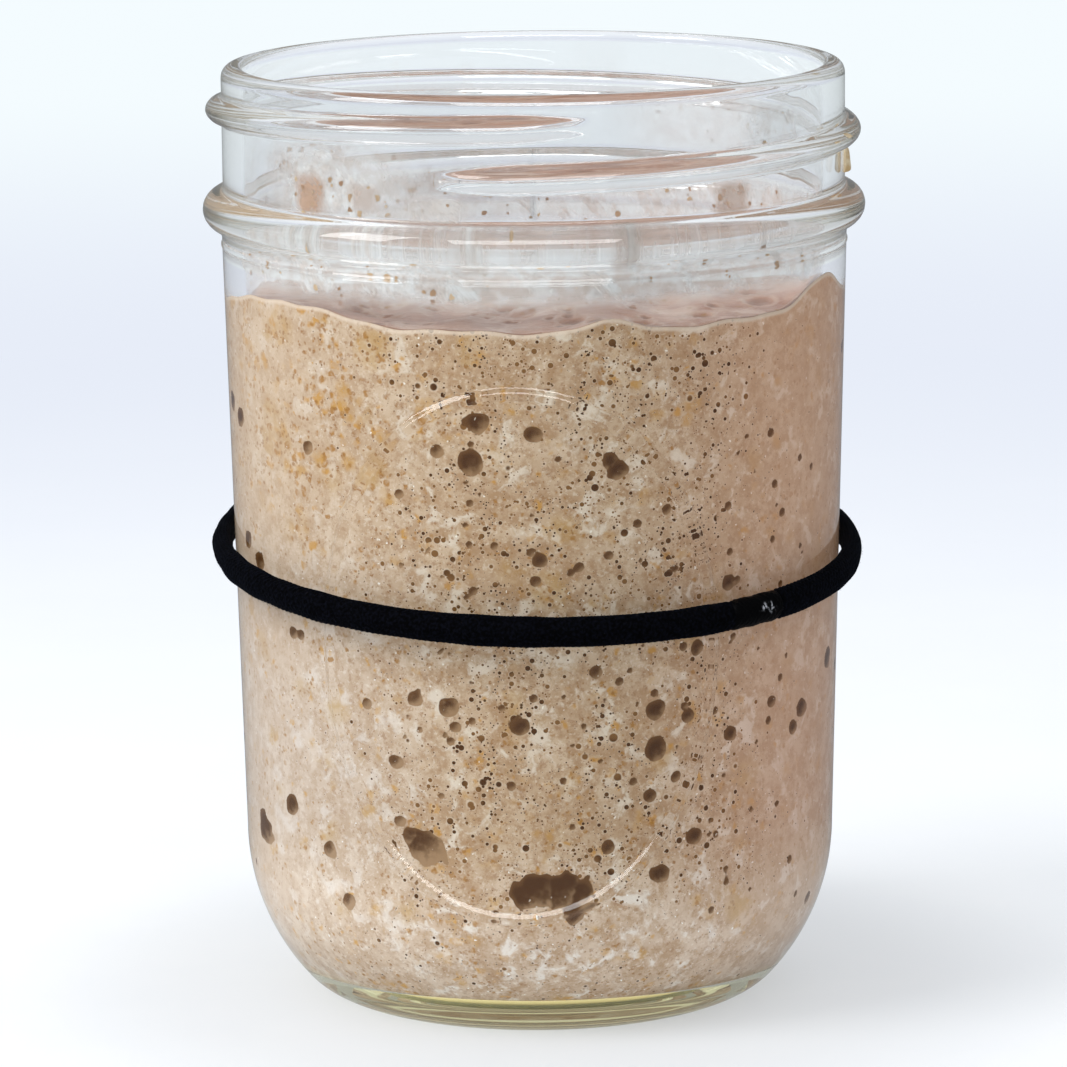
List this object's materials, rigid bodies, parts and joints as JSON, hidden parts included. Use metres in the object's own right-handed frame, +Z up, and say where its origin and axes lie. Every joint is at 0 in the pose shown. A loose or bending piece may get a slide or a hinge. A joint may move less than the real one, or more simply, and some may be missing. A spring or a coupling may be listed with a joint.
{
  "type": "sourdough starter jar",
  "caption": "Open wide-mouth screw-neck glass jar full of risen starter, with an elastic hair tie that slides on its wall as a level marker.",
  "frame": {"origin": "centre of the base ring, on the table", "axes": "+Z up along the jar's axis, the embossed oval faces -Y, +X to the right as the picture shows it"},
  "size_m": [0.0872, 0.0872, 0.124],
  "materials": {
    "glass": "clear soda-lime glass with a faint green tint, fire-polished",
    "starter": "wet flour paste full of gas bubbles, beige with bran flecks",
    "dried_starter": "dried flour paste, matt and flaky",
    "braid": "black braided nylon, slightly fuzzy",
    "rubber_strands": "black rubber strands",
    "glue": "clear glue soaked into the black braid, glossy with white specks"
  },
  "bodies": {
    "jar": {"jar": "glass", "starter": "starter", "neck_smears": "dried_starter", "thread_drip": "dried_starter"},
    "hair_tie": {"band_sleeve": "braid", "band_core": "rubber_strands", "band_joint": "glue"}
  },
  "joints": [
    {"name": "band_slide", "type": "slide", "parent": "jar", "child": "hair_tie", "axis": [0, 0, 1], "range_m": [-0.031, 0.011]}
  ]
}
